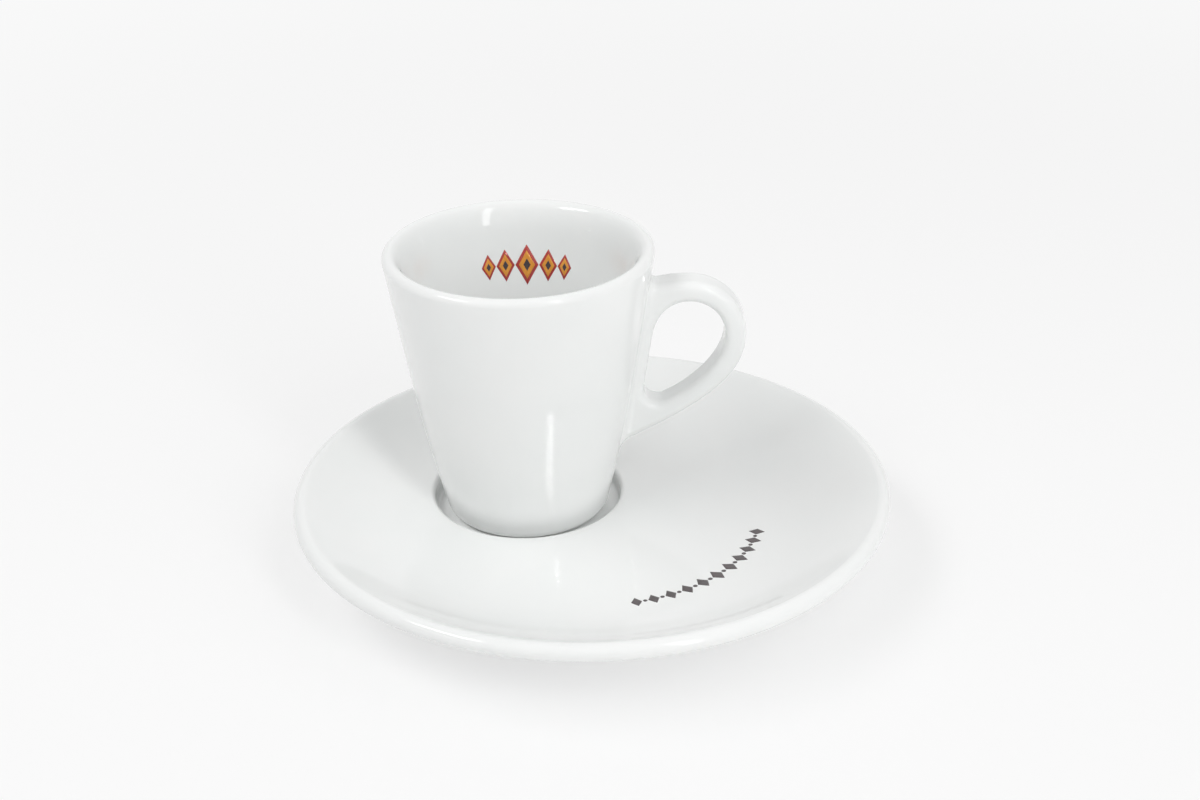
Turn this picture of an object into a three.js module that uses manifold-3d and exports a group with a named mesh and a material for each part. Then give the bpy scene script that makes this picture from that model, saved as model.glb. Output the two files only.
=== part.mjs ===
// Espresso cup standing in the off-centre well of its saucer.
// Millimetres, +Z up. The origin is the saucer's centre on the table; +X is the way the handle points.

import * as THREE from 'three';
import { mergeVertices } from 'three/addons/utils/BufferGeometryUtils.js';
import Module from 'manifold-3d';

const wasm = await Module();
wasm.setup();

// Saucer
const SAUCER_RADIUS = 68;
const SAUCER_HEIGHT = 17.5;
const SAUCER_WALL = 3.9;           // thickness of the sloping wall at its full-round rim
const RIM_SLOPE = 30;              // degrees, the wall's slope where it meets the rim
const DISH_FLOOR = 7.75;           // height of the flat floor above the table
const DISH_FLAT_RADIUS = 24;       // where the flat floor starts to rise
const SAUCER_FOOT_RADIUS = 45.5;   // middle of the foot ring
const SAUCER_FOOT_WIDTH = 3;
const SAUCER_FOOT_HOLLOW = 1.75;   // height of the hollow inside the foot ring
const SAUCER_FOOT_HEIGHT = 4.2;    // where the outside of the foot ring meets the wall
const SAUCER_FOOT_DRAFT = 0.8;     // how much the ring widens upwards on each side
const UNDER_SLOPE = 20;            // degrees, the underside's slope where it leaves the foot ring

// Well for the cup
const WELL_DEPTH = 3.3;
const WELL_OFFSET = 20.5;          // from the saucer's centre to the cup's axis
const WELL_AZIMUTH = 138;          // degrees from +X
const WELL_CLEARANCE = 2.55;       // between the cup's side and the well's wall
const WELL_FILLET = 1.2;
const WELL_CHAMFER = 0.6;

// Cup
const CUP_HEIGHT = 65.45;
const CUP_RIM_RADIUS = 30.6;
const CUP_BASE_RADIUS = 20.27;     // where the straight side, drawn on down, meets the seat
const CUP_BEND = 1.62;             // how far the side bends in from that line at the seat
const CUP_BEND_HEIGHT = 38.8;      // where the side starts to bend in
const CUP_BASE_ROUNDING = 3;
const CUP_LIP = 3;                 // twice the radius of the lip's rounding
const LIP_TURN = 115;              // degrees, how far over the lip its rounding goes
const CUP_FLARE = 8;               // from the lip's rounding down to where the inside starts to flare
const CUP_WALL_AT_FLARE = 4.2;
const CUP_WALL_AT_FLOOR = 3.6;
const CUP_FLOOR = 5.8;
const CUP_FLOOR_ROUNDING = 9;      // inside, between the wall and the floor
const CUP_FOOT_WIDTH = 2.4;
const CUP_FOOT_HOLLOW = 1.2;       // height of the hollow inside the foot ring

// Handle
const HANDLE_WIDTH = 8.2;          // across the loop
const HANDLE_THICKNESS = 4.85;     // in the plane of the loop
const HANDLE_EDGE = 1.9;           // rounding of its edges
const HANDLE_TOP_DROP = 8.3;       // from the lip down to the top of the crown
const HANDLE_CROWN_RADIUS = 13.1;  // outside
const HANDLE_REACH = 23.8;         // from the wall to the outermost point
const HANDLE_LENGTH = 40;          // from the top of the crown down to the tip on the wall
const HANDLE_ROOT_SLOPE = 12;      // degrees, the slope of the top limb at the wall
const HANDLE_TIP_SLOPE = 26;       // degrees, the slope of the lower limb at its tip
const HANDLE_STEM = 2.4;           // thickness of the stem that lies along the wall
const HANDLE_CORNER = 3.4;         // rounding inside the loop between the lower limb and the stem
const HANDLE_GAP = 0.3;            // between the handle and the cup's wall

// How full the free curves are at their start and end, as a share of the span
const DISH_EASE = [0.32, 0.55];
const UNDER_EASE = [0.33, 0.33];
const FLARE_EASE = [0.22, 0.4];
const ROUND_EASE = [0.39, 0.39];

// The same for the handle's lower limb, as a share of the way to where its two end directions meet
const OUTER_LIMB_EASE = [0.69, 0.79];
const INNER_LIMB_EASE = [0.58, 0.59];

// The most of a wall's thickness that the rounding of one edge may take
const EDGE_SHARE = 0.4;

// Fineness of the round surfaces
const AROUND = 64;
const ARC_STEPS = 4;
const CURVE_STEPS = 7;
const EDGE_STEPS = 3;

const PORCELAIN = 0xe9eaea;
const GLAZE_ROUGHNESS = 0.12;

const point = (x, y) => new THREE.Vector2(x, y);
const radians = THREE.MathUtils.degToRad;
const heading = (degrees) => point(Math.cos(radians(degrees)), Math.sin(radians(degrees)));

// Points of an arc about a centre, from one angle to another, in degrees
function arc(centre, radius, from, to, steps = ARC_STEPS) {
  const points = [];
  for (let step = 0; step <= steps; step += 1) {
    points.push(heading(from + (to - from) * step / steps).multiplyScalar(radius).add(centre));
  }
  return points;
}

// Points of an arc that goes through each of the given angles
function arcThrough(centre, radius, angles, steps = ARC_STEPS / 2) {
  const points = arc(centre, radius, angles[0], angles[1], steps);
  for (let turn = 2; turn < angles.length; turn += 1) {
    points.push(...arc(centre, radius, angles[turn - 1], angles[turn], steps).slice(1));
  }
  return points;
}

// Points of a free curve that leaves its start and reaches its end in given directions, in degrees
function sweep(start, startAngle, end, endAngle, [startEase, endEase], steps = CURVE_STEPS) {
  const span = start.distanceTo(end);
  const leave = heading(startAngle).multiplyScalar(span * startEase).add(start);
  const arrive = heading(endAngle).multiplyScalar(-span * endEase).add(end);
  return new THREE.CubicBezierCurve(start, leave, arrive, end).getPoints(steps);
}

// The positions of a geometry alone, with shared vertices merged and empty triangles dropped
function welded(geometry) {
  geometry.deleteAttribute('normal');
  geometry.deleteAttribute('uv');
  const merged = mergeVertices(geometry);
  const corners = merged.index.array;
  const kept = [];
  for (let corner = 0; corner < corners.length; corner += 3) {
    const [a, b, c] = corners.slice(corner, corner + 3);
    if (a !== b && b !== c && c !== a) kept.push(a, b, c);
  }
  merged.setIndex(kept);
  return merged;
}

// A body turned about +Z from a profile of radius and height that starts and ends on the axis
function turned(profile) {
  return welded(new THREE.LatheGeometry(profile, AROUND).rotateX(Math.PI / 2));
}

function solid(geometry) {
  return new wasm.Manifold(new wasm.Mesh({
    numProp: 3,
    vertProperties: new Float32Array(geometry.attributes.position.array),
    triVerts: new Uint32Array(geometry.index.array),
  }));
}

// A geometry with another cut out of it
function cut(geometry, tool) {
  const mesh = solid(geometry).subtract(solid(tool)).getMesh();
  const result = new THREE.BufferGeometry();
  result.setAttribute('position', new THREE.BufferAttribute(mesh.vertProperties, 3));
  result.setIndex(new THREE.BufferAttribute(mesh.triVerts, 1));
  return result;
}

// The cup's side: straight from the lip down, then bending in towards the seat
const lipRadius = CUP_LIP / 2;
const lipHeight = CUP_HEIGHT - lipRadius;
const sideTaper = (CUP_RIM_RADIUS - CUP_BASE_RADIUS) / lipHeight;
const sideAngle = THREE.MathUtils.radToDeg(Math.atan(sideTaper));
const sideBend = (height) => Math.max(1 - height / CUP_BEND_HEIGHT, 0);
const sideRadius = (height) => CUP_BASE_RADIUS + sideTaper * height - CUP_BEND * sideBend(height) ** 2;
const sideLean = (height) => sideTaper + 2 * sideBend(height) * CUP_BEND / CUP_BEND_HEIGHT;

// Points up the bent stretch of the side from a height above the seat, moved out by a gap
function bentSide(from, gap = 0, steps = CURVE_STEPS) {
  const points = [];
  for (let step = 0; step <= steps; step += 1) {
    const height = from + (CUP_BEND_HEIGHT - from) * step / steps;
    points.push(point(sideRadius(height) + gap, height));
  }
  return points;
}

// The well that the cup stands in
const wellFloor = DISH_FLOOR - WELL_DEPTH;
const wellRadius = sideRadius(WELL_DEPTH) + WELL_CLEARANCE;
const wellCentre = heading(WELL_AZIMUTH).multiplyScalar(WELL_OFFSET);

// The saucer before its well is cut: foot ring, underside, rim and dish
function saucerProfile() {
  const rimRadius = SAUCER_WALL / 2;
  const rimCentre = point(SAUCER_RADIUS - rimRadius, SAUCER_HEIGHT - rimRadius);
  const rim = arcThrough(rimCentre, rimRadius, [RIM_SLOPE - 90, 0, 45, 90, RIM_SLOPE + 90]);
  const footInside = SAUCER_FOOT_RADIUS - SAUCER_FOOT_WIDTH / 2;
  const footOutside = SAUCER_FOOT_RADIUS + SAUCER_FOOT_WIDTH / 2;
  const underStart = point(footOutside + SAUCER_FOOT_DRAFT, SAUCER_FOOT_HEIGHT);
  const floorEdge = point(DISH_FLAT_RADIUS, DISH_FLOOR);
  return [
    point(0, SAUCER_FOOT_HOLLOW),
    point(footInside - SAUCER_FOOT_DRAFT, SAUCER_FOOT_HOLLOW),
    point(footInside, 0),
    point(footOutside, 0),
    ...sweep(underStart, UNDER_SLOPE, rim.at(0), RIM_SLOPE, UNDER_EASE),
    ...rim.slice(1),
    ...sweep(rim.at(-1), RIM_SLOPE + 180, floorEdge, 180, DISH_EASE).slice(1),
    point(0, DISH_FLOOR),
  ];
}

// What is cut out of the dish: a floor, a filleted wall and a chamfer that runs on above the dish
function wellProfile() {
  const filletCentre = point(wellRadius - WELL_FILLET, wellFloor + WELL_FILLET);
  const chamferRise = SAUCER_HEIGHT - DISH_FLOOR + WELL_CHAMFER;
  return [
    point(0, wellFloor),
    ...arc(filletCentre, WELL_FILLET, -90, 0),
    point(wellRadius, DISH_FLOOR - WELL_CHAMFER),
    point(wellRadius + chamferRise, SAUCER_HEIGHT),
    point(0, SAUCER_HEIGHT),
  ];
}

function saucerGeometry() {
  const well = turned(wellProfile()).translate(wellCentre.x, wellCentre.y, 0);
  return cut(turned(saucerProfile()), well);
}

// The cup, from the hollow of its foot up the outside, over the lip and down the inside
function cupProfile() {
  const rise = 1 / Math.cos(radians(sideAngle));
  const baseSlope = THREE.MathUtils.radToDeg(Math.atan(sideLean(CUP_BASE_ROUNDING)));
  const baseReach = CUP_BASE_ROUNDING / Math.cos(radians(baseSlope));
  const baseCentre = point(sideRadius(CUP_BASE_ROUNDING) - baseReach, CUP_BASE_ROUNDING);
  const base = arc(baseCentre, CUP_BASE_ROUNDING, -90, -baseSlope);
  const footInside = baseCentre.x - CUP_FOOT_WIDTH;
  const lipCentre = point(CUP_RIM_RADIUS - lipRadius * rise, lipHeight);
  const floorEdge = sideRadius(CUP_FLOOR) - CUP_WALL_AT_FLOOR;
  const flareHeight = lipHeight - CUP_FLARE;
  const flareEdge = point(sideRadius(flareHeight) - CUP_WALL_AT_FLARE, flareHeight);
  const insideTaper = (flareEdge.x - floorEdge) / (flareHeight - CUP_FLOOR);
  const insideAngle = THREE.MathUtils.radToDeg(Math.atan(insideTaper));
  const lip = arcThrough(lipCentre, lipRadius, [-sideAngle, 45, 90, LIP_TURN]);
  const hollowCentre = point(
    floorEdge + CUP_FLOOR_ROUNDING * (insideTaper - 1 / Math.cos(radians(insideAngle))),
    CUP_FLOOR + CUP_FLOOR_ROUNDING,
  );
  return [
    point(0, CUP_FOOT_HOLLOW),
    point(footInside, CUP_FOOT_HOLLOW),
    point(footInside, 0),
    ...base,
    ...bentSide(base.at(-1).y).slice(1),
    ...lip,
    ...sweep(lip.at(-1), LIP_TURN + 90, flareEdge, 270 - insideAngle, FLARE_EASE).slice(1),
    ...arc(hollowCentre, CUP_FLOOR_ROUNDING, -insideAngle, -90),
    point(0, CUP_FLOOR),
  ];
}

// Where a line along the wall meets a line along the lower limb, each moved into the loop
function loopCorner(fromWall, fromLimb) {
  const wall = point(CUP_BASE_RADIUS + fromWall / Math.cos(radians(sideAngle)), 0);
  const limb = handleTip().add(heading(HANDLE_TIP_SLOPE + 90).multiplyScalar(fromLimb));
  const limbTaper = 1 / Math.tan(radians(HANDLE_TIP_SLOPE));
  const height = (wall.x - limb.x + limbTaper * limb.y) / (limbTaper - sideTaper);
  return point(wall.x + sideTaper * height, height);
}

function handleTip() {
  const height = CUP_HEIGHT - HANDLE_TOP_DROP - HANDLE_LENGTH;
  return point(sideRadius(height), height);
}

// Points of one side of the lower limb, which leaves along the tip's slope and ends upright
function limbSide(start, end, [startEase, endEase]) {
  const rise = (end.x - start.x) * Math.tan(radians(HANDLE_TIP_SLOPE));
  const meeting = point(end.x, start.y + rise);
  const leave = start.clone().lerp(meeting, startEase);
  const arrive = end.clone().lerp(meeting, endEase);
  return new THREE.CubicBezierCurve(start, leave, arrive, end).getPoints(CURVE_STEPS);
}

// The handle in its own plane: distance from the cup's axis, and height above the seat.
// Its outline runs on into the wall, where the cup's side then cuts it off.
function handleShape() {
  const top = CUP_HEIGHT - HANDLE_TOP_DROP;
  const crownHeight = top - HANDLE_CROWN_RADIUS;
  const crown = point(sideRadius(crownHeight) + HANDLE_REACH - HANDLE_CROWN_RADIUS, crownHeight);
  const inRadius = HANDLE_CROWN_RADIUS - HANDLE_THICKNESS;
  const outside = arc(crown, HANDLE_CROWN_RADIUS, 0, 90, 2 * ARC_STEPS);
  const inside = arc(crown, inRadius, 90, 0, 2 * ARC_STEPS);
  const down = 270 - sideAngle;

  const intoWall = 2 * HANDLE_EDGE;
  const tip = handleTip();
  const tipInside = heading(HANDLE_TIP_SLOPE).multiplyScalar(-intoWall).add(tip);
  const rootFall = (crown.x - sideRadius(top)) * Math.tan(radians(HANDLE_ROOT_SLOPE)) / 2;
  const root = point(sideRadius(top), top - rootFall);
  const rootInside = heading(HANDLE_ROOT_SLOPE).multiplyScalar(-intoWall).add(root);
  const outline = [
    tipInside,
    ...limbSide(tip, outside.at(0), OUTER_LIMB_EASE),
    ...outside.slice(1),
    ...sweep(outside.at(-1), 180, root, 180 + HANDLE_ROOT_SLOPE, ROUND_EASE, ARC_STEPS).slice(1),
    rootInside,
  ];

  const cornerCentre = loopCorner(HANDLE_STEM + HANDLE_CORNER, HANDLE_THICKNESS + HANDLE_CORNER);
  const corner = arc(cornerCentre, HANDLE_CORNER, HANDLE_TIP_SLOPE - 90, -180 - sideAngle);
  const stemTop = point(sideRadius(crownHeight) + HANDLE_STEM / Math.cos(radians(sideAngle)), crownHeight);
  const hole = [
    ...inside,
    ...limbSide(corner.at(0), inside.at(-1), INNER_LIMB_EASE).reverse().slice(1),
    ...corner.slice(1),
    ...sweep(inside.at(0), 180, stemTop, down, ROUND_EASE, ARC_STEPS).reverse().slice(0, -1),
  ];

  const shape = new THREE.Shape(outline);
  shape.holes.push(new THREE.Path(hole));
  return shape;
}

// The loop with its edges rounded as far as its thickness and width allow, cut off at the wall
function handleGeometry() {
  const edge = Math.min(HANDLE_EDGE, EDGE_SHARE * HANDLE_THICKNESS, EDGE_SHARE * HANDLE_WIDTH);
  const depth = HANDLE_WIDTH - 2 * edge;
  const loop = welded(new THREE.ExtrudeGeometry(handleShape(), {
    depth,
    bevelThickness: edge,
    bevelSize: edge,
    bevelOffset: -edge,
    bevelSegments: EDGE_STEPS,
  }).translate(0, 0, -depth / 2).rotateX(Math.PI / 2));
  const wall = turned([
    point(0, 0),
    ...bentSide(0, HANDLE_GAP),
    point(sideRadius(CUP_HEIGHT) + HANDLE_GAP, CUP_HEIGHT),
    point(0, CUP_HEIGHT),
  ]);
  return cut(loop, wall);
}

function porcelain(name, geometry) {
  const glaze = new THREE.MeshStandardMaterial({ color: PORCELAIN, roughness: GLAZE_ROUGHNESS, metalness: 0 });
  const mesh = new THREE.Mesh(geometry, glaze);
  mesh.name = name;
  return mesh;
}

const cup = new THREE.Group();
cup.position.set(wellCentre.x, wellCentre.y, wellFloor);
cup.add(porcelain('cup_body', turned(cupProfile())));
cup.add(porcelain('cup_handle', handleGeometry()));

const cupWithSaucer = new THREE.Group();
cupWithSaucer.add(porcelain('saucer', saucerGeometry()));
cupWithSaucer.add(cup);

export default cupWithSaucer;
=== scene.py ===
"""Espresso cup in the off-centre well of its saucer: smooth glazed porcelain with small printed borders."""

from itertools import product
from math import atan, cos, degrees, e, exp, log, pi, radians, sin, sqrt, tan

import bmesh
import bpy
import numpy as np
from mathutils import Matrix, Vector


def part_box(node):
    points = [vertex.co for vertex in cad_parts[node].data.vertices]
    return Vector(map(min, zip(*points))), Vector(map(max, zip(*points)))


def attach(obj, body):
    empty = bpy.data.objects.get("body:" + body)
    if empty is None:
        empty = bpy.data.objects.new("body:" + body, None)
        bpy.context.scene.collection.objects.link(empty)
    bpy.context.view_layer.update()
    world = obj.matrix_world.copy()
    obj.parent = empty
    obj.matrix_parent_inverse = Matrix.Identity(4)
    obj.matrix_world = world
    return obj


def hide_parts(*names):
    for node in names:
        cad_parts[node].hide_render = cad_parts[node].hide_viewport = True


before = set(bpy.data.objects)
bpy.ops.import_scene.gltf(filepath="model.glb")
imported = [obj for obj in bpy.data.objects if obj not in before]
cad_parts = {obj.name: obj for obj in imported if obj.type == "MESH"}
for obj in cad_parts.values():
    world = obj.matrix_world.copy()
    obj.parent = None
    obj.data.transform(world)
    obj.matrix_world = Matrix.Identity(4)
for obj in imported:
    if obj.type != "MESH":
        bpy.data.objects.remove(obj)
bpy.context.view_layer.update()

MM = 0.001
WELD = 0.001 * MM                    # corners closer than this are one

# Sizes that the frame gives
saucer_low, saucer_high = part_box("saucer")
cup_low, cup_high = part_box("cup_body")
SAUCER_RADIUS = (saucer_high.x - saucer_low.x) / 2
SAUCER_HEIGHT = saucer_high.z
CUP_AXIS = Vector(((cup_low.x + cup_high.x) / 2, (cup_low.y + cup_high.y) / 2, 0))
CUP_HEIGHT = cup_high.z - cup_low.z
SEAT = cup_low.z                     # height of the well's floor, where the cup stands

# Saucer
SAUCER_WALL = 3.9 * MM               # thickness at the full-round rim
RIM_SLOPE = 30                       # degrees, the dish's slope where it meets the rim
DISH_FLOOR = 7.75 * MM
WALL_SLOPE = 33.5                    # degrees, the slope that the rising wall tends to
KNEE_SOFTNESS = 6.5 * MM             # how softly the flat floor turns into the rising wall
SAUCER_FOOT_RADIUS = 45.5 * MM
SAUCER_FOOT_WIDTH = 3 * MM
SAUCER_FOOT_HOLLOW = 1.75 * MM
SAUCER_FOOT_HEIGHT = 4.2 * MM
FOOT_DRAFT = 0.8 * MM
FOOT_ROUNDING = 0.5 * MM
UNDER_SLOPE = 20                     # degrees, the underside's slope where it leaves the foot ring
UNDER_EASE = (0.33, 0.33)
UNDER_SKIP = 3                       # points of the underside's curve that the foot's rounding replaces

# Well
WELL_CLEARANCE = 2.55 * MM           # between the cup's side and the well's wall
WELL_FILLET = 1.2 * MM
WELL_EDGE = 1.2 * MM                 # rounding of the edge between the well and the dish

# Cup
CUP_RIM_RADIUS = 30.6 * MM
CUP_BASE_RADIUS = 20.27 * MM         # where the straight side, drawn on down, meets the seat
CUP_BEND = 1.62 * MM                 # how far the side bends in from that line at the seat
CUP_BEND_HEIGHT = 38.8 * MM          # where the side starts to bend in
CUP_BASE_ROUNDING = 3 * MM
CUP_LIP = 3 * MM                     # twice the radius of the lip's rounding
LIP_TURN = 115                       # degrees, how far over the lip its rounding goes
CUP_FLARE = 8 * MM                   # from the lip's centre down to where the inside starts to flare
CUP_WALL_AT_FLARE = 4.2 * MM
FLARE_EASE = (0.22, 0.4)
CUP_WALL_AT_FLOOR = 3.6 * MM
CUP_FLOOR = 5.8 * MM
CUP_FLOOR_ROUNDING = 9 * MM
CUP_FOOT_WIDTH = 2.4 * MM
CUP_FOOT_HOLLOW = 1.2 * MM

# Ear
EAR_WIDTH = 8.2 * MM                 # across the loop
EAR_THICKNESS = 4.85 * MM            # in the plane of the loop
EAR_EDGE = 1.9 * MM                  # rounding of its edges
EAR_TOP_DROP = 8.3 * MM              # from the lip down to the top of the crown
EAR_CROWN_RADIUS = 13.1 * MM
EAR_REACH = 23.8 * MM                # from the wall to the outermost point
EAR_LENGTH = 40 * MM                 # from the top of the crown down to the tip on the wall
EAR_ROOT_SLOPE = 12                  # degrees
EAR_TIP_SLOPE = 26                   # degrees
EAR_STEM = 2.4 * MM
EAR_CORNER = 3.4 * MM
EAR_FILLET = 2.2 * MM                # how far the slip joint spreads between the ear and the wall
EAR_FILLET_REACH = 1.2 * EAR_FILLET  # how far from the ear that joint may run along the wall
EAR_FILLET_SINK = 0.02 * MM          # how deep the joint's thin edge lies in the wall
EAR_SINK = 0.6 * MM                  # how deep the ear's hidden end lies in the wall
OUTER_LIMB_EASE = (0.56, 0.26)
INNER_LIMB_EASE = (0.41, 0.27)
ROUND_EASE = (0.39, 0.39)

# Fineness of the round surfaces
AROUND = 256
CURVE_STEPS = 24
CORNER_STEPS = 8
WELL_STEPS = 10
CUP_FLAT_STEPS = 6
SAUCER_FLAT_STEPS = 8
DISH_RINGS = 30
EAR_GRAIN = 0.45 * MM                # spacing of the grid that the ear is meshed on
EAR_PROBE = EAR_GRAIN / 20           # step over which the slope of the ear's field is taken

# Printed borders
CUP_BORDER_AZIMUTH = 88              # degrees about the cup's axis
CUP_BORDER_HEIGHT = 50.8 * MM        # above the seat, at the middle of the border
SAUCER_BORDER_AZIMUTH = -45          # degrees about the saucer's axis
SAUCER_BORDER_RADIUS = 38.5 * MM
CUP_LOZENGES = 5
SAUCER_LOZENGES = 11                 # with a dot between each two
PRINT_THICKNESS = 0.12 * MM
PRINT_LIFT = 0.02 * MM               # how much each layer of print stands above the one below


class Wire:
    """A socket of a node tree. Sums and products of wires add Math nodes, and node() adds any other."""

    def __init__(self, tree, socket=None):
        self.tree = tree
        self.socket = socket

    def node(self, kind, settings=None, sockets=None, output=0):
        """An output of a new node, whose settings are set before its sockets get values or links."""
        node = self.tree.nodes.new(kind)
        for name, value in (settings or {}).items():
            setattr(node, name, value)
        for name, value in (sockets or {}).items():
            socket = usable(node.inputs, name)
            if isinstance(value, Wire):
                self.tree.links.new(value.socket, socket)
            else:
                socket.default_value = value
        return Wire(self.tree, usable(node.outputs, output))

    def beside(self, output):
        """Another output of the same node."""
        return Wire(self.tree, usable(self.socket.node.outputs, output))

    def math(self, operation, *terms):
        return self.node("ShaderNodeMath", {"operation": operation}, dict(enumerate(terms)))

    def vector(self, operation, *terms):
        return self.node("ShaderNodeVectorMath", {"operation": operation}, dict(enumerate(terms)))

    def clamped(self, low, high):
        """How far this value is on its way from low to high, held between 0 and 1."""
        sockets = {"Value": self, "From Min": low, "From Max": high}
        return self.node("ShaderNodeMapRange", {"interpolation_type": "SMOOTHSTEP"}, sockets)

    def __add__(self, other):
        return self.math("ADD", self, other)

    def __radd__(self, other):
        return self.math("ADD", other, self)

    def __sub__(self, other):
        return self.math("SUBTRACT", self, other)

    def __rsub__(self, other):
        return self.math("SUBTRACT", other, self)

    def __mul__(self, other):
        return self.math("MULTIPLY", self, other)

    def __rmul__(self, other):
        return self.math("MULTIPLY", other, self)

    def __truediv__(self, other):
        return self.math("DIVIDE", self, other)

    def __pow__(self, other):
        return self.math("POWER", self, other)

    def __mod__(self, other):
        return self.math("FLOORED_MODULO", self, other)


def usable(sockets, key):
    """The socket of that number, or the first one of that name that the node's settings leave in use."""
    if isinstance(key, int):
        return sockets[key]
    return next(socket for socket in sockets if socket.name == key and socket.enabled)


# Flat drawing

def heading(angle):
    return np.array([cos(radians(angle)), sin(radians(angle))])


def arc(centre, radius, start, end, steps=CURVE_STEPS):
    """Points of an arc from one angle to another, in degrees."""
    turn = np.radians(np.linspace(start, end, steps + 1))
    return np.asarray(centre) + radius * np.column_stack([np.cos(turn), np.sin(turn)])


def sweep(start, start_angle, end, end_angle, eases, steps=CURVE_STEPS):
    """Points of a free curve that leaves its start and reaches its end in given directions, in degrees."""
    start, end = np.asarray(start), np.asarray(end)
    span = np.linalg.norm(end - start)
    leave = start + heading(start_angle) * span * eases[0]
    arrive = end - heading(end_angle) * span * eases[1]
    t = np.linspace(0, 1, steps + 1)[:, None]
    s = 1 - t
    return s**3 * start + 3 * s**2 * t * leave + 3 * s * t**2 * arrive + t**3 * end


def straight(start, end, steps):
    return np.linspace(start, end, steps + 1)


def rounded_corner(before, corner, after, radius, steps=CORNER_STEPS):
    """Points of the arc that rounds a corner of a line."""
    before, corner, after = (np.asarray(place, float) for place in (before, corner, after))
    back = (before - corner) / np.linalg.norm(before - corner)
    on = (after - corner) / np.linalg.norm(after - corner)
    half = np.arccos(np.clip(back @ on, -1, 1)) / 2
    middle = (back + on) / np.linalg.norm(back + on)
    centre = corner + middle * radius / sin(half)
    first = corner + back * radius / tan(half) - centre
    last = corner + on * radius / tan(half) - centre
    t = np.linspace(0, 1, steps + 1)[:, None] * (pi - 2 * half)
    across = (last - first * cos(pi - 2 * half)) / sin(pi - 2 * half)
    return centre + first * np.cos(t) + across * np.sin(t)


# Cup profile, as radius and height above the seat

lip_radius = CUP_LIP / 2
lip_height = CUP_HEIGHT - lip_radius
side_taper = (CUP_RIM_RADIUS - CUP_BASE_RADIUS) / lip_height
side_angle = degrees(atan(side_taper))
side_rise = 1 / cos(radians(side_angle))
lip_centre = (CUP_RIM_RADIUS - lip_radius * side_rise, lip_height)


def side_radius(height):
    bend = np.maximum(1 - height / CUP_BEND_HEIGHT, 0)
    return CUP_BASE_RADIUS + side_taper * height - CUP_BEND * bend**2


def side_slope(height):
    """How many degrees the side leans out at a height above the seat."""
    bend = max(1 - height / CUP_BEND_HEIGHT, 0)
    return degrees(atan(side_taper + 2 * bend * CUP_BEND / CUP_BEND_HEIGHT))


floor_edge = side_radius(CUP_FLOOR) - CUP_WALL_AT_FLOOR
flare_height = lip_height - CUP_FLARE
flare_edge = (side_radius(flare_height) - CUP_WALL_AT_FLARE, flare_height)
inside_taper = (flare_edge[0] - floor_edge) / (flare_height - CUP_FLOOR)
inside_angle = degrees(atan(inside_taper))


def inside_radius(height):
    return floor_edge + inside_taper * (height - CUP_FLOOR)


def cup_profile():
    """From the hollow of the foot up the outside, over the lip and down the inside."""
    base_slope = side_slope(CUP_BASE_ROUNDING)
    base_reach = side_radius(CUP_BASE_ROUNDING) - CUP_BASE_ROUNDING / cos(radians(base_slope))
    base_centre = (base_reach, CUP_BASE_ROUNDING)
    foot_inside = base_centre[0] - CUP_FOOT_WIDTH
    hollow, top, bottom = (0, CUP_FOOT_HOLLOW), (foot_inside, CUP_FOOT_HOLLOW), (foot_inside, 0)
    base = arc(base_centre, CUP_BASE_ROUNDING, -90, -base_slope)
    lip = arc(lip_centre, lip_radius, -side_angle, LIP_TURN)
    flare = sweep(lip[-1], LIP_TURN + 90, flare_edge, 270 - inside_angle, FLARE_EASE)
    heights = np.linspace(base[-1][1], lip[0][1], CURVE_STEPS + 1)[1:-1]
    side = np.column_stack([side_radius(heights), heights])
    bowl_centre = (
        floor_edge + CUP_FLOOR_ROUNDING * (inside_taper - 1 / cos(radians(inside_angle))),
        CUP_FLOOR + CUP_FLOOR_ROUNDING,
    )
    bowl = arc(bowl_centre, CUP_FLOOR_ROUNDING, -inside_angle, -90)
    return np.vstack([
        straight(hollow, (foot_inside - 2 * FOOT_ROUNDING, CUP_FOOT_HOLLOW), CUP_FLAT_STEPS),
        rounded_corner(hollow, top, bottom, FOOT_ROUNDING),
        rounded_corner(top, bottom, base[0], FOOT_ROUNDING),
        base,
        side,
        lip,
        flare[1:],
        straight(flare[-1], bowl[0], CURVE_STEPS)[1:-1],
        bowl,
        straight(bowl[-1], (0, CUP_FLOOR), CUP_FLAT_STEPS)[1:],
    ])


# Saucer profile

rim_radius = SAUCER_WALL / 2
rim_centre = np.array([SAUCER_RADIUS - rim_radius, SAUCER_HEIGHT - rim_radius])
dish_edge = rim_centre + rim_radius * heading(RIM_SLOPE + 90)
dish_rise = (dish_edge[1] - DISH_FLOOR) / (tan(radians(WALL_SLOPE)) * KNEE_SOFTNESS)
knee_radius = dish_edge[0] - KNEE_SOFTNESS * log(exp(dish_rise) - 1)
well_radius = side_radius(DISH_FLOOR - SEAT) + WELL_CLEARANCE


def rings(points, slide=0.0, follow=0.0):
    """Rows of radius, height, how far the ring lies towards the cup's axis, and if it lies on the dish."""
    points = np.asarray(points, float)
    extra = [np.broadcast_to(np.asarray(value, float), len(points)) for value in (slide, follow)]
    return np.column_stack([points, *extra])


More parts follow.
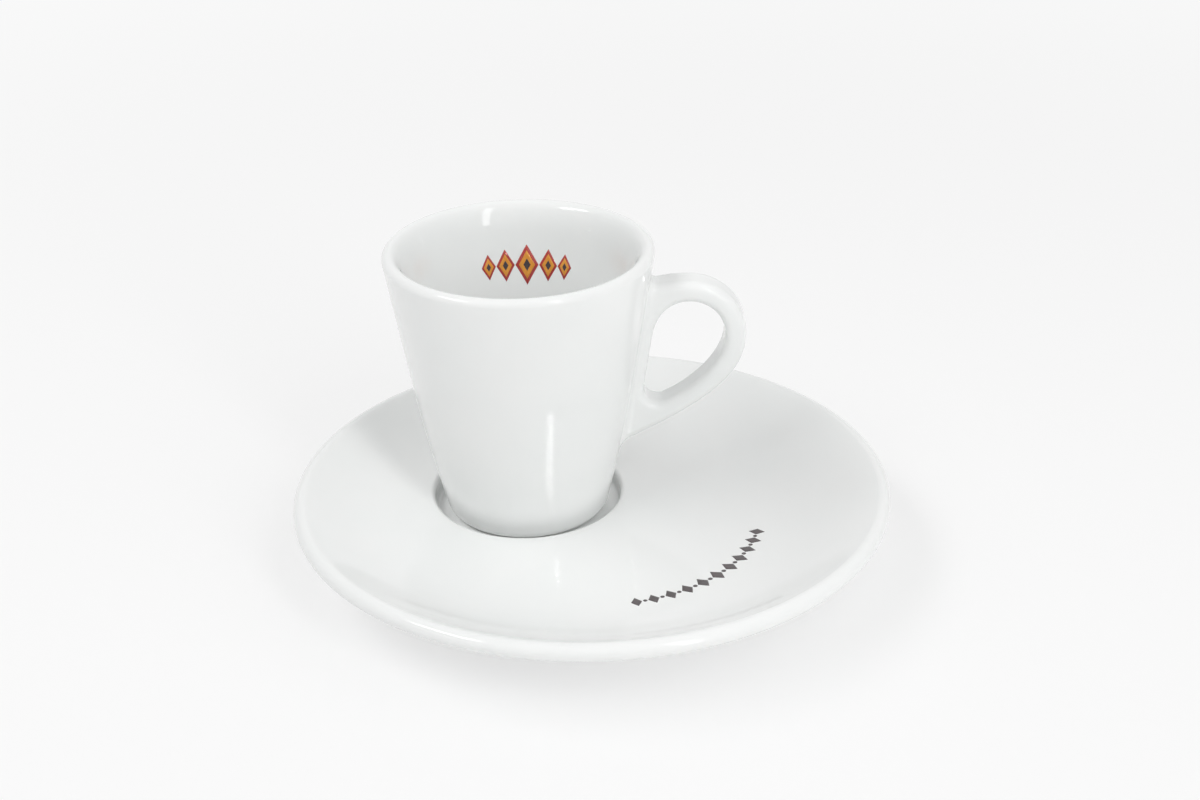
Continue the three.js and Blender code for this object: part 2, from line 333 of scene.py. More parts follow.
def saucer_rings():
    """From the middle of the underside out to the rim, in over the dish, and down into the well."""
    foot_inside = SAUCER_FOOT_RADIUS - SAUCER_FOOT_WIDTH / 2
    foot_outside = SAUCER_FOOT_RADIUS + SAUCER_FOOT_WIDTH / 2
    middle = (0, SAUCER_FOOT_HOLLOW)
    inner_top = (foot_inside - FOOT_DRAFT, SAUCER_FOOT_HOLLOW)
    inner_bottom, outer_bottom = (foot_inside, 0), (foot_outside, 0)
    outer_top = (foot_outside + FOOT_DRAFT, SAUCER_FOOT_HEIGHT)
    rim = arc(rim_centre, rim_radius, RIM_SLOPE - 90, RIM_SLOPE + 90)
    under = sweep(outer_top, UNDER_SLOPE, rim[0], RIM_SLOPE, UNDER_EASE)[UNDER_SKIP:]
    below = np.vstack([
        straight(middle, (inner_top[0] - 3 * FOOT_ROUNDING, SAUCER_FOOT_HOLLOW), SAUCER_FLAT_STEPS),
        rounded_corner(middle, inner_top, inner_bottom, 2 * FOOT_ROUNDING),
        rounded_corner(inner_top, inner_bottom, outer_bottom, FOOT_ROUNDING),
        rounded_corner(inner_bottom, outer_bottom, outer_top, FOOT_ROUNDING),
        rounded_corner(outer_bottom, outer_top, under[0], 2 * FOOT_ROUNDING),
        under,
        rim[1:],
    ])
    share = np.linspace(0, 1, DISH_RINGS + 1)[1:]
    edge_radius = well_radius + WELL_EDGE
    dish = np.column_stack([dish_edge[0] + (edge_radius - dish_edge[0]) * share, np.zeros(DISH_RINGS)])
    edge = arc((edge_radius, -WELL_EDGE), WELL_EDGE, 90, 180, CORNER_STEPS)[1:]
    corner_centre = (well_radius - WELL_FILLET, SEAT + WELL_FILLET)
    corner = arc(corner_centre, WELL_FILLET, 0, -90, WELL_STEPS)
    floor = straight(corner[-1], (0, SEAT), SAUCER_FLAT_STEPS)[1:]
    return np.vstack([
        rings(below),
        rings(dish, slide=share, follow=1),
        rings(edge, slide=1, follow=1),
        rings(corner, slide=1),
        rings(floor, slide=1),
    ])


# Geometry trees

def geometry_tree(name, inputs):
    """A new tree with a geometry in and out and other named inputs, and a wire for each input."""
    tree = bpy.data.node_groups.new(name, "GeometryNodeTree")
    tree.interface.new_socket("Geometry", in_out="OUTPUT", socket_type="NodeSocketGeometry")
    tree.interface.new_socket("Geometry", in_out="INPUT", socket_type="NodeSocketGeometry")
    for label, kind in inputs.items():
        tree.interface.new_socket(label, in_out="INPUT", socket_type=f"NodeSocket{kind}")
    entry = tree.nodes.new("NodeGroupInput")
    return tree, {socket.name: Wire(tree, socket) for socket in entry.outputs if socket.name}


def end_tree(tree, shape, material):
    """Shades the shape smooth, realizes it, gives it its material and sends it out of the tree."""
    shape = shape.node("GeometryNodeSetShadeSmooth", sockets={"Geometry": shape})
    shape = shape.node("GeometryNodeRealizeInstances", sockets={"Geometry": shape})
    shape = shape.node("GeometryNodeSetMaterial", sockets={"Geometry": shape, "Material": material})
    tree.links.new(shape.socket, tree.nodes.new("NodeGroupOutput").inputs["Geometry"])


def turned_ware_tree():
    """Turns a profile into ware, with rings that slide to the cup's axis and may lie on the dish."""
    tree, given = geometry_tree("turned_ware", {
        "Around": "Int",
        "Cup Axis": "Vector",
        "Dish Floor": "Float",
        "Wall Slope": "Float",
        "Knee Radius": "Float",
        "Knee Softness": "Float",
        "Material": "Material",
    })
    profile = given["Geometry"]
    whole = {"Geometry": profile}
    count = profile.node("GeometryNodeAttributeDomainSize", sockets=whole, output="Point Count")
    sizes = {"Vertices X": given["Around"] + 1, "Vertices Y": count}
    grid = profile.node("GeometryNodeMeshGrid", sockets=sizes, output="Mesh")
    index = profile.node("GeometryNodeInputIndex")
    ring = index % count
    turn = (index - ring) / count * (2 * pi) / given["Around"]

    def along(name):
        """A value of the profile at each ring."""
        label = {"Name": name}
        value = profile.node("GeometryNodeInputNamedAttribute", {"data_type": "FLOAT"}, label, "Attribute")
        sockets = {"Geometry": profile, "Value": value, "Index": ring}
        return profile.node("GeometryNodeSampleIndex", {"data_type": "FLOAT"}, sockets)

    axis_x = profile.node("ShaderNodeSeparateXYZ", sockets={"Vector": given["Cup Axis"]}, output="X")
    radius, slide = along("radius"), along("slide")
    x = axis_x * slide + radius * turn.math("COSINE", turn)
    y = axis_x.beside("Y") * slide + radius * turn.math("SINE", turn)
    squares = x * x + y * y
    knee = (squares.math("SQRT", squares) - given["Knee Radius"]) / given["Knee Softness"]
    soft = 1 + knee.math("EXPONENT", knee)
    climb = given["Wall Slope"] * given["Knee Softness"] * soft.math("LOGARITHM", soft, e)
    z = along("height") + along("follow") * (given["Dish Floor"] + climb)
    place = profile.node("ShaderNodeCombineXYZ", sockets={"X": x, "Y": y, "Z": z})
    shape = profile.node("GeometryNodeSetPosition", sockets={"Geometry": grid, "Position": place})
    shape = profile.node("GeometryNodeMergeByDistance", sockets={"Geometry": shape, "Distance": WELD})
    end_tree(tree, shape, given["Material"])
    return tree


def printed_border_tree():
    """A graded row of lozenges or dots, bent round an axis and laid on the ware that comes in."""
    tree, given = geometry_tree("printed_border", {
        "Count": "Int",
        "Pitch": "Float",
        "Shrink": "Float",
        "Width": "Float",
        "Height": "Float",
        "Round": "Bool",
        "Thickness": "Float",
        "Proud": "Float",
        "Axis": "Vector",
        "Azimuth": "Float",
        "Radius": "Float",
        "Level": "Float",
        "Upright": "Float",
        "Material": "Material",
    })
    ware = given["Geometry"]

    def scaled(shape, x, y, z):
        scale = ware.node("ShaderNodeCombineXYZ", sockets={"X": x, "Y": y, "Z": z})
        return ware.node("GeometryNodeTransform", sockets={"Geometry": shape, "Scale": scale})

    square = {"Vertices X": 8, "Vertices Y": 8, "Vertices Z": 2}
    lozenge = ware.node("GeometryNodeMeshCube", sockets=square, output="Mesh")
    turned = {"Geometry": lozenge, "Rotation": (0, 0, pi / 4)}
    lozenge = ware.node("GeometryNodeTransform", sockets=turned)
    lozenge = scaled(lozenge, given["Width"] / sqrt(2), given["Height"] / sqrt(2), given["Thickness"])
    disc = {"Vertices": 20, "Side Segments": 1, "Fill Segments": 2, "Radius": 0.5, "Depth": 1.0}
    dot = ware.node("GeometryNodeMeshCylinder", {"fill_type": "TRIANGLE_FAN"}, disc, "Mesh")
    dot = scaled(dot, given["Width"], given["Height"], given["Thickness"])
    either = {"Switch": given["Round"], "False": lozenge, "True": dot}
    tile = ware.node("GeometryNodeSwitch", {"input_type": "GEOMETRY"}, either)

    index = ware.node("GeometryNodeInputIndex")
    step = index - (given["Count"] - 1) / 2
    size = given["Shrink"] ** step.math("ABSOLUTE", step)
    reach = given["Pitch"] * (1 + given["Shrink"]) / 2 * (1 - size) / (1 - given["Shrink"])
    along = reach * step.math("SIGN", step)
    row = ware.node("GeometryNodeMeshLine", sockets={"Count": given["Count"]}, output="Mesh")
    place = ware.node("ShaderNodeCombineXYZ", sockets={"X": along})
    row = ware.node("GeometryNodeSetPosition", sockets={"Geometry": row, "Position": place})
    scale = ware.node("ShaderNodeCombineXYZ", sockets={"X": size, "Y": size, "Z": 1.0})
    tiles = {"Points": row, "Instance": tile, "Scale": scale}
    flat = ware.node("GeometryNodeInstanceOnPoints", sockets=tiles)
    flat = ware.node("GeometryNodeRealizeInstances", sockets={"Geometry": flat})

    spot = ware.node("GeometryNodeInputPosition")
    across = ware.node("ShaderNodeSeparateXYZ", sockets={"Vector": spot}, output="Y")
    turn = given["Azimuth"] + across.beside("X") / given["Radius"]
    radius = given["Radius"] + across * (1 - given["Upright"])
    bent = {
        "X": radius * turn.math("COSINE", turn),
        "Y": radius * turn.math("SINE", turn),
        "Z": given["Level"] + across * given["Upright"],
    }
    near = ware.vector("ADD", ware.node("ShaderNodeCombineXYZ", sockets=bent), given["Axis"])

    def on_ware(value):
        """A value of the ware at its nearest point."""
        sockets = {"Mesh": ware, "Value": value, "Sample Position": near}
        return ware.node("GeometryNodeSampleNearestSurface", {"data_type": "FLOAT_VECTOR"}, sockets)

    lift = across.beside("Z") - given["Thickness"] / 2 + given["Proud"]
    out = on_ware(ware.node("GeometryNodeInputNormal"))
    out = ware.node("ShaderNodeVectorMath", {"operation": "SCALE"}, {"Vector": out, "Scale": lift})
    laid = ware.vector("ADD", on_ware(spot), out)
    shape = ware.node("GeometryNodeSetPosition", sockets={"Geometry": flat, "Position": laid})
    end_tree(tree, shape, given["Material"])
    return tree


# Meshes

def settled(mesh):
    """Closes a mesh's seams, turns its faces outwards and shades it smooth."""
    work = bmesh.new()
    work.from_mesh(mesh)
    bmesh.ops.remove_doubles(work, verts=work.verts, dist=WELD)
    bmesh.ops.recalc_face_normals(work, faces=work.faces)
    work.to_mesh(mesh)
    work.free()
    mesh.shade_smooth()
    return mesh


def store_edges(mesh):
    """Keeps how sharply the surface bends as an attribute: 1 on a 1 mm edge, -1 in a 1 mm corner."""
    count = len(mesh.vertices)
    places, normals = np.empty(count * 3), np.empty(count * 3)
    mesh.vertices.foreach_get("co", places)
    mesh.vertices.foreach_get("normal", normals)
    places, normals = places.reshape(-1, 3), normals.reshape(-1, 3)
    ends = np.empty(len(mesh.edges) * 2, int)
    mesh.edges.foreach_get("vertices", ends)
    ends = ends.reshape(-1, 2)
    bend, share = np.zeros(count), np.zeros(count)
    for here, there in (ends.T, ends.T[::-1]):
        gap = places[here] - places[there]
        fall = np.einsum("ij,ij->i", gap, normals[here]) / np.einsum("ij,ij->i", gap, gap)
        np.add.at(bend, here, 2 * fall)
        np.add.at(share, here, 1)
    values = np.clip(bend / np.maximum(share, 1) * MM, -1, 1)
    mesh.attributes.new("edge", "FLOAT", "POINT").data.foreach_set("value", values.astype(np.float32))


def placed(name, mesh):
    piece = bpy.data.objects.new(name, mesh)
    bpy.context.scene.collection.objects.link(piece)
    return piece


def grown(name, tree, base, **sizes):
    """A plain mesh object that a geometry tree makes from a base mesh and its named inputs."""
    source = placed(f"{name}_base", base)
    modifier = source.modifiers.new("shape", "NODES")
    modifier.node_group = tree
    for socket in tree.interface.items_tree:
        key = socket.name.lower().replace(" ", "_")
        if socket.in_out == "INPUT" and key in sizes:
            modifier[socket.identifier] = sizes[key]
    depsgraph = bpy.context.evaluated_depsgraph_get()
    mesh = bpy.data.meshes.new_from_object(source.evaluated_get(depsgraph))
    bpy.data.objects.remove(source)
    return placed(name, settled(mesh))


def profile_mesh(rows):
    """A line of points that carry the values of each ring."""
    mesh = bpy.data.meshes.new("profile")
    links = [(place, place + 1) for place in range(len(rows) - 1)]
    mesh.from_pydata([(radius, 0, height) for radius, height, slide, follow in rows], links, [])
    for name, values in zip(("radius", "height", "slide", "follow"), rows.T):
        mesh.attributes.new(name, "FLOAT", "POINT").data.foreach_set("value", values.astype(np.float32))
    return mesh


def turned_ware(name, rows, material):
    ware = grown(
        name, turned_ware_tree(), profile_mesh(rows),
        around=AROUND,
        cup_axis=CUP_AXIS,
        dish_floor=DISH_FLOOR,
        wall_slope=tan(radians(WALL_SLOPE)),
        knee_radius=knee_radius,
        knee_softness=KNEE_SOFTNESS,
        material=material,
    )
    store_edges(ware.data)
    return ware


# Ear: a rounded loop that a fillet joins to the cup's wall, meshed from its distance field

def ear_tip():
    height = CUP_HEIGHT - EAR_TOP_DROP - EAR_LENGTH
    return np.array([side_radius(height), height])


def loop_corner(from_wall, from_limb):
    """Where a line along the wall meets a line along the lower limb, each moved into the loop."""
    wall = CUP_BASE_RADIUS + from_wall * side_rise
    limb = ear_tip() + heading(EAR_TIP_SLOPE + 90) * from_limb
    limb_taper = 1 / tan(radians(EAR_TIP_SLOPE))
    height = (wall - limb[0] + limb_taper * limb[1]) / (limb_taper - side_taper)
    return np.array([wall + side_taper * height, height])


def ear_outlines():
    """The loop's outer and inner line: distance from the cup's axis, and height above the seat."""
    top = CUP_HEIGHT - EAR_TOP_DROP
    crown_height = top - EAR_CROWN_RADIUS
    crown = np.array([side_radius(crown_height) + EAR_REACH - EAR_CROWN_RADIUS, crown_height])
    inner_radius = EAR_CROWN_RADIUS - EAR_THICKNESS
    outside = arc(crown, EAR_CROWN_RADIUS, 0, 90)
    inside = arc(crown, inner_radius, 90, 0)

    into_wall = 2 * EAR_EDGE
    tip = ear_tip()
    root_fall = (crown[0] - side_radius(top)) * tan(radians(EAR_ROOT_SLOPE)) / 2
    root = np.array([side_radius(top), top - root_fall])
    outer = np.vstack([
        tip - heading(EAR_TIP_SLOPE) * into_wall,
        sweep(tip, EAR_TIP_SLOPE, outside[0], 90, OUTER_LIMB_EASE),
        outside[1:],
        sweep(outside[-1], 180, root, 180 + EAR_ROOT_SLOPE, ROUND_EASE)[1:],
        root - heading(EAR_ROOT_SLOPE) * into_wall,
    ])

    corner_centre = loop_corner(EAR_STEM + EAR_CORNER, EAR_THICKNESS + EAR_CORNER)
    corner = arc(corner_centre, EAR_CORNER, EAR_TIP_SLOPE - 90, -180 - side_angle)
    stem_top = np.array([side_radius(crown_height) + EAR_STEM * side_rise, crown_height])
    inner = np.vstack([
        inside,
        sweep(corner[0], EAR_TIP_SLOPE, inside[-1], 90, INNER_LIMB_EASE)[::-1][1:],
        corner[1:],
        sweep(inside[0], 180, stem_top, 270 - side_angle, ROUND_EASE)[::-1][:-1],
    ])
    return outer, inner


def outline_distance(places, outline):
    """Distance of flat places from a closed outline, negative inside it."""
    nearest = np.full(len(places), np.inf)
    inside = np.zeros(len(places), bool)
    for start, end in zip(outline, np.roll(outline, -1, axis=0)):
        side = end - start
        offset = places - start
        share = np.clip(offset @ side / (side @ side), 0, 1)
        nearest = np.minimum(nearest, np.linalg.norm(offset - share[:, None] * side, axis=1))
        crosses = (start[1] > places[:, 1]) != (end[1] > places[:, 1])
        if side[1]:
            inside ^= crosses & (offset[:, 0] < side[0] * offset[:, 1] / side[1])
    return np.where(inside, -nearest, nearest)


def softly_joined(one, other, spread):
    """The smaller of two distances, with the corner between them filled over a given spread."""
    fill = np.maximum(spread - np.abs(one - other), 0) / spread
    return np.minimum(one, other) - fill**2 * spread / 4


def ear_field(places, outlines):
    """Distance of places, taken from the foot of the cup's axis, from the surface of the ear."""
    outer, inner = outlines
    flat = places[:, [0, 2]]
    loop = np.maximum(outline_distance(flat, outer), -outline_distance(flat, inner)) + EAR_EDGE
    side = np.abs(places[:, 1]) - EAR_WIDTH / 2 + EAR_EDGE
    outside = np.hypot(np.maximum(loop, 0), np.maximum(side, 0))
    ear = outside + np.minimum(np.maximum(loop, side), 0) - EAR_EDGE
    wall = (np.hypot(places[:, 0], places[:, 1]) - side_radius(places[:, 2])) / side_rise
    joined = softly_joined(ear, wall + EAR_FILLET_SINK, EAR_FILLET)
    return np.maximum.reduce([joined, -wall - EAR_SINK, ear - EAR_FILLET_REACH])


def level_surface(field, low, high, step):
    """Corners and faces of a field's zero level, with one corner in each grid cell it crosses."""
    lines = [np.arange(start, end + step, step) for start, end in zip(low, high)]
    grid = np.stack(np.meshgrid(*lines, indexing="ij"), axis=-1)
    values = field(grid.reshape(-1, 3)).reshape(grid.shape[:3])
    size = np.array(values.shape)
    total = np.zeros((*(size - 1), 3))
    count = np.zeros(size - 1)
    crossings = []
    for axis in range(3):
        near = [slice(None)] * 3
        far = [slice(None)] * 3
        near[axis], far[axis] = slice(0, -1), slice(1, None)
        start, end = values[tuple(near)], values[tuple(far)]
        crossed = (start < 0) != (end < 0)
        share = np.where(crossed, start / np.where(crossed, start - end, 1), 0)
        point = grid[tuple(near)].copy()
        point[..., axis] += share * step
        crossings.append(crossed)
        others = [other for other in range(3) if other != axis]
        for shift in product((0, 1), repeat=2):
            window = [slice(None)] * 3
            for other, offset in zip(others, shift):
                window[other] = slice(offset, size[other] - 1 + offset)
            found = crossed[tuple(window)]
            total += point[tuple(window)] * found[..., None]
            count += found
    number = np.full(size - 1, -1)
    number[count > 0] = np.arange(np.count_nonzero(count))
    corners = total[count > 0] / count[count > 0][:, None]
    faces = []
    for axis, crossed in enumerate(crossings):
        one, two = [other for other in range(3) if other != axis]
        cell = np.argwhere(crossed)
        for_face = []
        for back_one, back_two in ((0, 0), (1, 0), (1, 1), (0, 1)):
            shifted = cell.copy()
            shifted[:, one] -= back_one
            shifted[:, two] -= back_two
            for_face.append(number[tuple(shifted.T)])
        faces.append(np.column_stack(for_face))
    return corners, np.vstack(faces)


def drawn_to_surface(corners, field, reach, passes=4, flattest=0.1):
    """Moves corners along a field's slope, taken as no flatter than a limit, onto its zero level."""
    for _ in range(passes):
        slope = np.column_stack([
            (field(corners + shift) - field(corners - shift)) / (2 * reach) for shift in np.eye(3) * reach
        ])
        steep = np.maximum(np.einsum("ij,ij->i", slope, slope), flattest)
        corners = corners - (field(corners) / steep)[:, None] * slope
    return corners


def ear_piece(name, material):
    outlines = ear_outlines()
    margin = 2 * EAR_FILLET
    outer = outlines[0]
    low = (outer[:, 0].min() - margin, -EAR_WIDTH / 2 - margin, outer[:, 1].min() - margin)
    high = (outer[:, 0].max() + margin, EAR_WIDTH / 2 + margin, outer[:, 1].max() + margin)

    def field(places):
        return ear_field(places, outlines)

    corners, faces = level_surface(field, low, high, EAR_GRAIN)
    corners = drawn_to_surface(corners, field, EAR_PROBE)
    corners = corners + np.array([CUP_AXIS.x, CUP_AXIS.y, SEAT])
    mesh = bpy.data.meshes.new(name)
    mesh.from_pydata(corners.tolist(), [], faces.tolist())
    mesh.materials.append(material)
    ear = placed(name, settled(mesh))
    store_edges(ear.data)
    return ear


# Finishes

GLAZE_WHITE = (0.868, 0.882, 0.875, 1)
GLAZE_CLOUD = (0.885, 0.893, 0.886, 1)
# Darker glaze for concave corners: partly glaze pooled thick there, partly painted shade where the corners
# fall in shadow
GLAZE_POOLED_AND_SHADED = (0.80, 0.825, 0.815, 1)
GLAZE_THIN = (0.895, 0.895, 0.888, 1)
SPECK = (0.36, 0.33, 0.29, 1)
BISCUIT_DARK = (0.68, 0.65, 0.59, 1)
BISCUIT_LIGHT = (0.76, 0.735, 0.68, 1)
GLAZE_EDGE = (0.2 * MM, 0.32 * MM)   # heights above the foot over which the glaze begins
GLAZE_WANDER = 0.25 * MM             # how much the ripple moves that edge up and down
GLAZE_RIPPLE = 0.006 * MM
BISCUIT_GRAIN = 0.03 * MM


def new_finish(name):
    """A new material and the start of its tree."""
    material = bpy.data.materials.new(name)
    material.use_nodes = True
    material.node_tree.nodes.clear()
    return material, Wire(material.node_tree)


def end_finish(start, shader, output="ShaderNodeOutputMaterial"):
    """Sends a shader out of its tree."""
    start.tree.links.new(shader.socket, start.tree.nodes.new(output).inputs["Surface"])


def mixed(share, one, other):
    """A colour that goes from one to the other."""
    sockets = {"Factor": share, "A": one, "B": other}
    return share.node("ShaderNodeMix", {"data_type": "RGBA"}, sockets, "Result")


def glazed_porcelain(name, foot_level):
    """White body under a clear gloss glaze, bare where the foot ring was wiped before firing. Its concave
    corners are darkened by pooled glaze and by painted shade.
    """
    material, start = new_finish(name)
    place = start.node("ShaderNodeTexCoord", output="Object")
    height = start.node("ShaderNodeSeparateXYZ", sockets={"Vector": place}, output="Z")
    cloud = start.node("ShaderNodeTexNoise", sockets={"Vector": place, "Scale": 38.0, "Detail": 3.0})
    ripple = start.node("ShaderNodeTexNoise", sockets={"Vector": place, "Scale": 210.0, "Detail": 1.0})
    grain = start.node("ShaderNodeTexNoise", sockets={"Vector": place, "Scale": 2600.0, "Detail": 2.0})
    edge = start.node("ShaderNodeAttribute", {"attribute_name": "edge"}, output="Fac")
    cells = start.node("ShaderNodeTexVoronoi", sockets={"Vector": place, "Scale": 95.0}, output="Distance")
    chosen = start.node("ShaderNodeSeparateColor", sockets={"Color": cells.beside("Color")})

    above = height + (ripple - 0.5) * GLAZE_WANDER
    bare = 1 - above.clamped(foot_level + GLAZE_EDGE[0], foot_level + GLAZE_EDGE[1])
    speck = chosen.clamped(0.93, 0.94) * (1 - cells.clamped(0.010, 0.022))
    # Concave corners darken: partly glaze pooled thicker there, partly painted shade for the shadow that
    # falls in them
    pooled_and_shaded = (0 - edge).clamped(0.02, 0.9)
    thin = edge.clamped(0.15, 0.9)

    white = mixed(cloud.clamped(0.3, 0.7), GLAZE_WHITE, GLAZE_CLOUD)
    white = mixed(pooled_and_shaded * 0.6, white, GLAZE_POOLED_AND_SHADED)
    white = mixed(thin * 0.5, white, GLAZE_THIN)
    white = mixed(speck * 0.35, white, SPECK)
    biscuit = mixed(grain.clamped(0.35, 0.65), BISCUIT_DARK, BISCUIT_LIGHT)
    relief = ripple * GLAZE_RIPPLE + bare * (grain * BISCUIT_GRAIN)
    normal = start.node("ShaderNodeBump", sockets={"Height": relief, "Distance": 1.0, "Strength": 0.6})
    shader = start.node("ShaderNodeBsdfPrincipled", sockets={
        "Base Color": mixed(bare, white, biscuit),
        "Roughness": 0.55 + bare * 0.3,
        "Specular IOR Level": 0.0,
        "Coat Weight": 1 - bare,
        "Coat Roughness": 0.045,
        "Coat IOR": 1.5,
        "Normal": normal,
    })
    end_finish(start, shader)
    return material


def fired_print(name, colour, worn):
    """Transfer print under the glaze, a little uneven in its ink."""
    material, start = new_finish(name)
    place = start.node("ShaderNodeTexCoord", output="Object")
    cloud = start.node("ShaderNodeTexNoise", sockets={"Vector": place, "Scale": 420.0, "Detail": 4.0})
    dots = start.node("ShaderNodeTexNoise", sockets={"Vector": place, "Scale": 5200.0, "Detail": 1.0})
    ink = (cloud * 0.7 + dots * 0.3).clamped(0.35, 0.7)
    shader = start.node("ShaderNodeBsdfPrincipled", sockets={
        "Base Color": mixed(ink, (*colour, 1), (*worn, 1)),
        "Roughness": 0.4 + ink * 0.1,
        "Specular IOR Level": 0.25,
        "Coat Weight": 1.0,
        "Coat Roughness": 0.06,
    })
    end_finish(start, shader)
    return material


# Pieces

def carried(piece, body, slot, *nodes):
    """Sets a piece on its body and hides the nodes it stands for. Its slot is not used."""
    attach(piece, body)
    if nodes:
        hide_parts(*nodes)
    return piece


saucer_glaze = glazed_porcelain("saucer_porcelain", 0.0)
cup_glaze = glazed_porcelain("cup_porcelain", SEAT)

saucer = turned_ware("saucer_dish", saucer_rings(), saucer_glaze)
cup_rows = rings(cup_profile() + (0, SEAT), slide=1)
cup = turned_ware("cup_bowl", cup_rows, cup_glaze)
ear = ear_piece("cup_ear", cup_glaze)

red = fired_print("print_red", colour=(0.40, 0.024, 0.020), worn=(0.47, 0.040, 0.030))
amber = fired_print("print_amber", colour=(0.72, 0.270, 0.018), worn=(0.78, 0.330, 0.035))
dark = fired_print("print_dark", colour=(0.030, 0.020, 0.022), worn=(0.055, 0.036, 0.038))

border_tree = printed_border_tree()
CUP_ROW = {
    "axis": CUP_AXIS,
    "azimuth": radians(CUP_BORDER_AZIMUTH),
    "radius": inside_radius(CUP_BORDER_HEIGHT),
    "level": SEAT + CUP_BORDER_HEIGHT,
    "upright": 1.0,
    "pitch": 5.7 * MM,
    "shrink": 0.8,
}
SAUCER_ROW = {
    "axis": Vector((0, 0, 0)),
    "azimuth": radians(SAUCER_BORDER_AZIMUTH),
    "radius": SAUCER_BORDER_RADIUS,
    "level": DISH_FLOOR,
    "upright": 0.0,
    "pitch": 4.5 * MM,
    "shrink": 0.97,
}


def border(name, ware, row, material, layer, count, width, height, rounded=False):
    """One layer of a printed border on a piece of ware."""
    return grown(
        name, border_tree, ware.data.copy(),
        count=count,
        width=width,
        height=height,
        round=rounded,
        thickness=PRINT_THICKNESS,
        proud=layer * PRINT_LIFT,
        material=material,
        **row,
    )


cup_red = border(
    "cup_border_red", cup, CUP_ROW, red,
    layer=1, count=CUP_LOZENGES, width=5.5 * MM, height=10 * MM,
)
cup_amber = border(
    "cup_border_amber", cup, CUP_ROW, amber,
    layer=2, count=CUP_LOZENGES, width=3.9 * MM, height=7.1 * MM,
)
cup_dark = border(
    "cup_border_dark", cup, CUP_ROW, dark,
    layer=3, count=CUP_LOZENGES, width=1.7 * MM, height=3.1 * MM,
)
saucer_lozenges = border(
    "saucer_border_lozenges", saucer, SAUCER_ROW, dark,
    layer=1, count=SAUCER_LOZENGES, width=2.9 * MM, height=4.4 * MM,
)
saucer_dots = border(
    "saucer_border_dots", saucer, SAUCER_ROW, dark,
    layer=1, count=SAUCER_LOZENGES - 1, width=1.1 * MM, height=1.1 * MM, rounded=True,
)

carried(saucer, "saucer", "saucer_porcelain", "saucer")
carried(cup, "cup", "cup_porcelain", "cup_body")
carried(ear, "cup", "cup_porcelain", "cup_handle")
carried(cup_red, "cup", "print_red")
carried(cup_amber, "cup", "print_amber")
carried(cup_dark, "cup", "print_dark")
carried(saucer_lozenges, "saucer", "print_dark")
carried(saucer_dots, "saucer", "print_dark")


# Stage

FLOOR_WIDTH = 8.0
FLOOR_COLOUR = (0.95, 0.95, 0.95, 1)
BACKDROP_COLOUR = (0.955, 0.955, 0.955, 1)
BACKDROP_SHARE = 0.62                # how much of the backdrop's own tone the seen floor has at the object
FLOOR_FADE = (0.2, 0.7)              # distances over which the seen floor turns into the backdrop
AMBIENT = 0.28
STRIP = {"azimuth": -57, "width": 0.15, "height": 0.95}
STRIP_LAYERS = 4
LAYER_GAP = 0.01
SENSOR_WIDTH = 36
FOCAL_LENGTH = 56.25
CAMERA_PLACE = (2.33 * MM, -374.97 * MM, 229.35 * MM)
CAMERA_DOWN = 27.04                  # degrees that the camera looks down
CAMERA_ROLL = -1.19                  # degrees about its line of sight


def shown(start):
    """1 for rays that show a surface to the camera, straight or by way of a reflection."""
    ray = start.node("ShaderNodeLightPath", output="Is Camera Ray")
    seen = ray.math("MAXIMUM", ray, ray.beside("Is Glossy Ray"))
    return ray.math("MAXIMUM", seen, ray.beside("Is Transmission Ray"))


def flat_mesh(name, width, height):
    """A flat rectangle about the origin."""
    mesh = bpy.data.meshes.new(name)
    x, y = width / 2, height / 2
    mesh.from_pydata([(-x, -y, 0), (x, -y, 0), (x, y, 0), (-x, y, 0)], [], [(0, 1, 2, 3)])
    return mesh


def floor():
    """A pale floor that the camera sees turn into the backdrop with distance."""
    mesh = flat_mesh("floor", FLOOR_WIDTH, FLOOR_WIDTH)
    material, start = new_finish("floor_paper")
    paper = start.node("ShaderNodeBsdfDiffuse", sockets={"Color": FLOOR_COLOUR})
    backdrop = start.node("ShaderNodeEmission", sockets={"Color": BACKDROP_COLOUR, "Strength": 1.0})
    place = start.node("ShaderNodeTexCoord", output="Object")
    away = start.node("ShaderNodeVectorMath", {"operation": "LENGTH"}, {0: place}, "Value")
    share = shown(start) * (BACKDROP_SHARE + (1 - BACKDROP_SHARE) * away.clamped(*FLOOR_FADE))
    end_finish(start, start.node("ShaderNodeMixShader", sockets={0: share, 1: paper, 2: backdrop}))
    mesh.materials.append(material)
    placed("floor", mesh)


def surroundings():
    """Even light from all round, seen by the camera and in reflections as a pale backdrop."""
    world = bpy.data.worlds.new("surroundings")
    bpy.context.scene.world = world
    world.use_nodes = True
    world.node_tree.nodes.clear()
    start = Wire(world.node_tree)
    light = start.node("ShaderNodeBackground", sockets={"Color": (1, 1, 1, 1), "Strength": AMBIENT})
    drop = start.node("ShaderNodeBackground", sockets={"Color": BACKDROP_COLOUR, "Strength": 1.0})
    shader = start.node("ShaderNodeMixShader", sockets={0: shown(start), 1: light, 2: drop})
    end_finish(start, shader, "ShaderNodeOutputWorld")


def turned_to_object(piece, azimuth, elevation, distance):
    """Sets a lamp or panel at a distance in a direction, in degrees, facing the object."""
    bpy.context.scene.collection.objects.link(piece)
    across = heading(azimuth) * cos(radians(elevation))
    place = Vector((*across, sin(radians(elevation)))) * distance
    piece.matrix_world = Matrix.Translation(place) @ place.to_track_quat("Z", "Y").to_matrix().to_4x4()
    piece.visible_camera = False


def softbox(name, azimuth, elevation, distance, width, height, level):
    """A soft lamp that lights a surface turned to it by a level, at which 1 shows a colour as written."""
    lamp = bpy.data.lights.new(name, "AREA")
    lamp.shape = "RECTANGLE"
    lamp.size = width
    lamp.size_y = height
    lamp.energy = level * (pi * distance) ** 2
    piece = bpy.data.objects.new(name, lamp)
    piece.visible_glossy = False
    turned_to_object(piece, azimuth, elevation, distance)


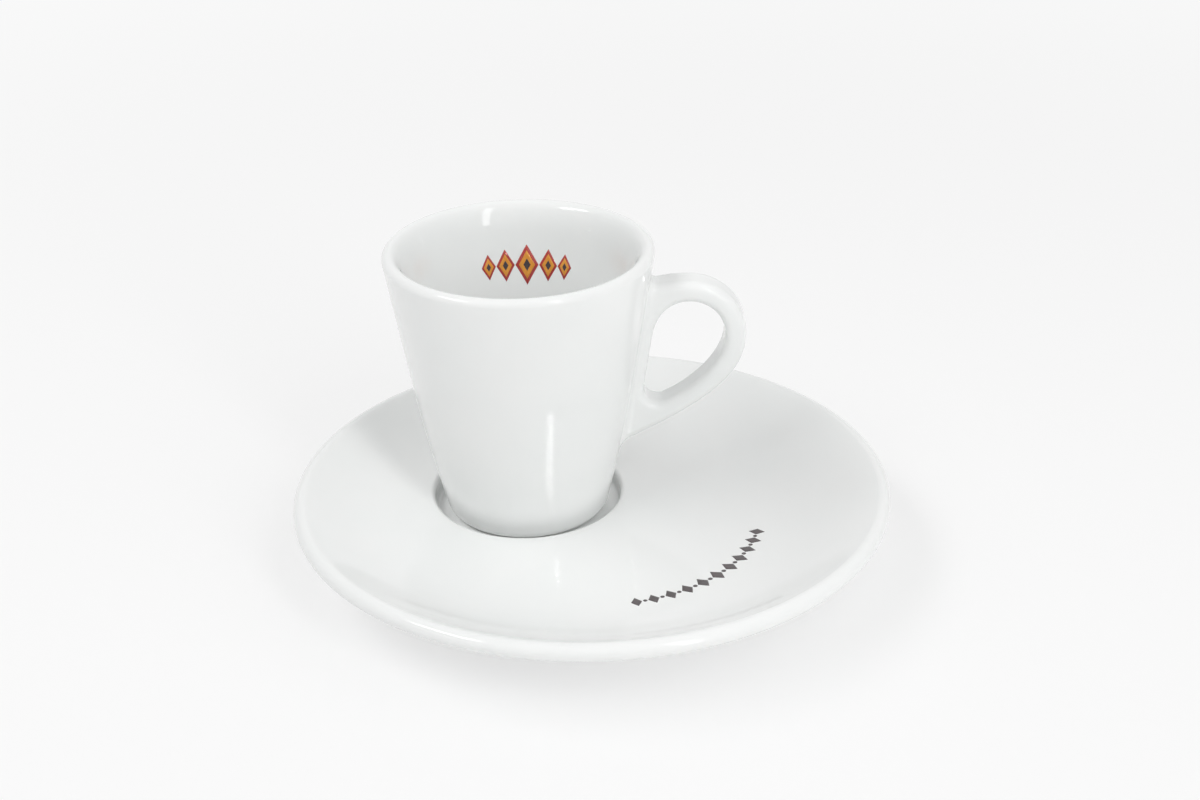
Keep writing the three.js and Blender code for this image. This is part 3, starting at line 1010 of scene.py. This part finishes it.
def gleam(name, azimuth, elevation, distance, width, height, brightness, reflections=1):
    """A bright panel that lights nothing and only shows after a number of reflections in the glaze."""
    mesh = flat_mesh(name, width, height)
    material, start = new_finish(name)
    material.cycles.emission_sampling = "NONE"
    clear = start.node("ShaderNodeBsdfTransparent")
    bright = start.node("ShaderNodeEmission", sockets={"Strength": brightness})
    bright = start.node("ShaderNodeAddShader", sockets={0: clear, 1: bright})
    ray = start.node("ShaderNodeLightPath", output="Diffuse Depth")
    straight_on = ray.math("LESS_THAN", ray, 0.5)
    mirrored = ray.math("GREATER_THAN", ray.beside("Glossy Depth"), reflections - 0.5)
    sockets = {0: straight_on * mirrored, 1: clear, 2: bright}
    end_finish(start, start.node("ShaderNodeMixShader", sockets=sockets))
    mesh.materials.append(material)
    panel = bpy.data.objects.new(name, mesh)
    turned_to_object(panel, azimuth, elevation, distance)
    panel.visible_diffuse = False
    panel.visible_shadow = False


def camera():
    """The photograph's viewpoint."""
    lens = bpy.data.cameras.new("camera")
    lens.sensor_fit = "HORIZONTAL"
    lens.sensor_width = SENSOR_WIDTH
    lens.lens = FOCAL_LENGTH
    piece = bpy.data.objects.new("camera", lens)
    bpy.context.scene.collection.objects.link(piece)
    tilt = Matrix.Rotation(radians(90 - CAMERA_DOWN), 4, "X")
    roll = Matrix.Rotation(radians(CAMERA_ROLL), 4, "Z")
    piece.matrix_world = Matrix.Translation(CAMERA_PLACE) @ tilt @ roll
    bpy.context.scene.camera = piece


floor()
surroundings()
softbox("strip_right", elevation=30, distance=1.1, level=0.295, **STRIP)
gleam("strip_shine", elevation=31, distance=1.11, brightness=3.5, **STRIP)
for layer in range(STRIP_LAYERS):
    # Layers one behind the other add up, and only a second reflection shows them
    distance = 1.12 + LAYER_GAP * layer
    name = f"strip_gleam_{layer}"
    gleam(name, elevation=31, distance=distance, brightness=13.0, reflections=2, **STRIP)
softbox("wide_left", azimuth=189, elevation=52, distance=1.3, width=1.4, height=0.5, level=0.48)
gleam("left_shine", azimuth=205, elevation=47, distance=1.31, width=0.55, height=0.2, brightness=9.0)
softbox("fill_right", azimuth=-30, elevation=45, distance=1.5, width=1.9, height=1.9, level=0.34)
softbox("fill_back", azimuth=60, elevation=50, distance=1.6, width=2.2, height=2.2, level=0.19)
camera()
bpy.context.scene.view_settings.view_transform = "Standard"
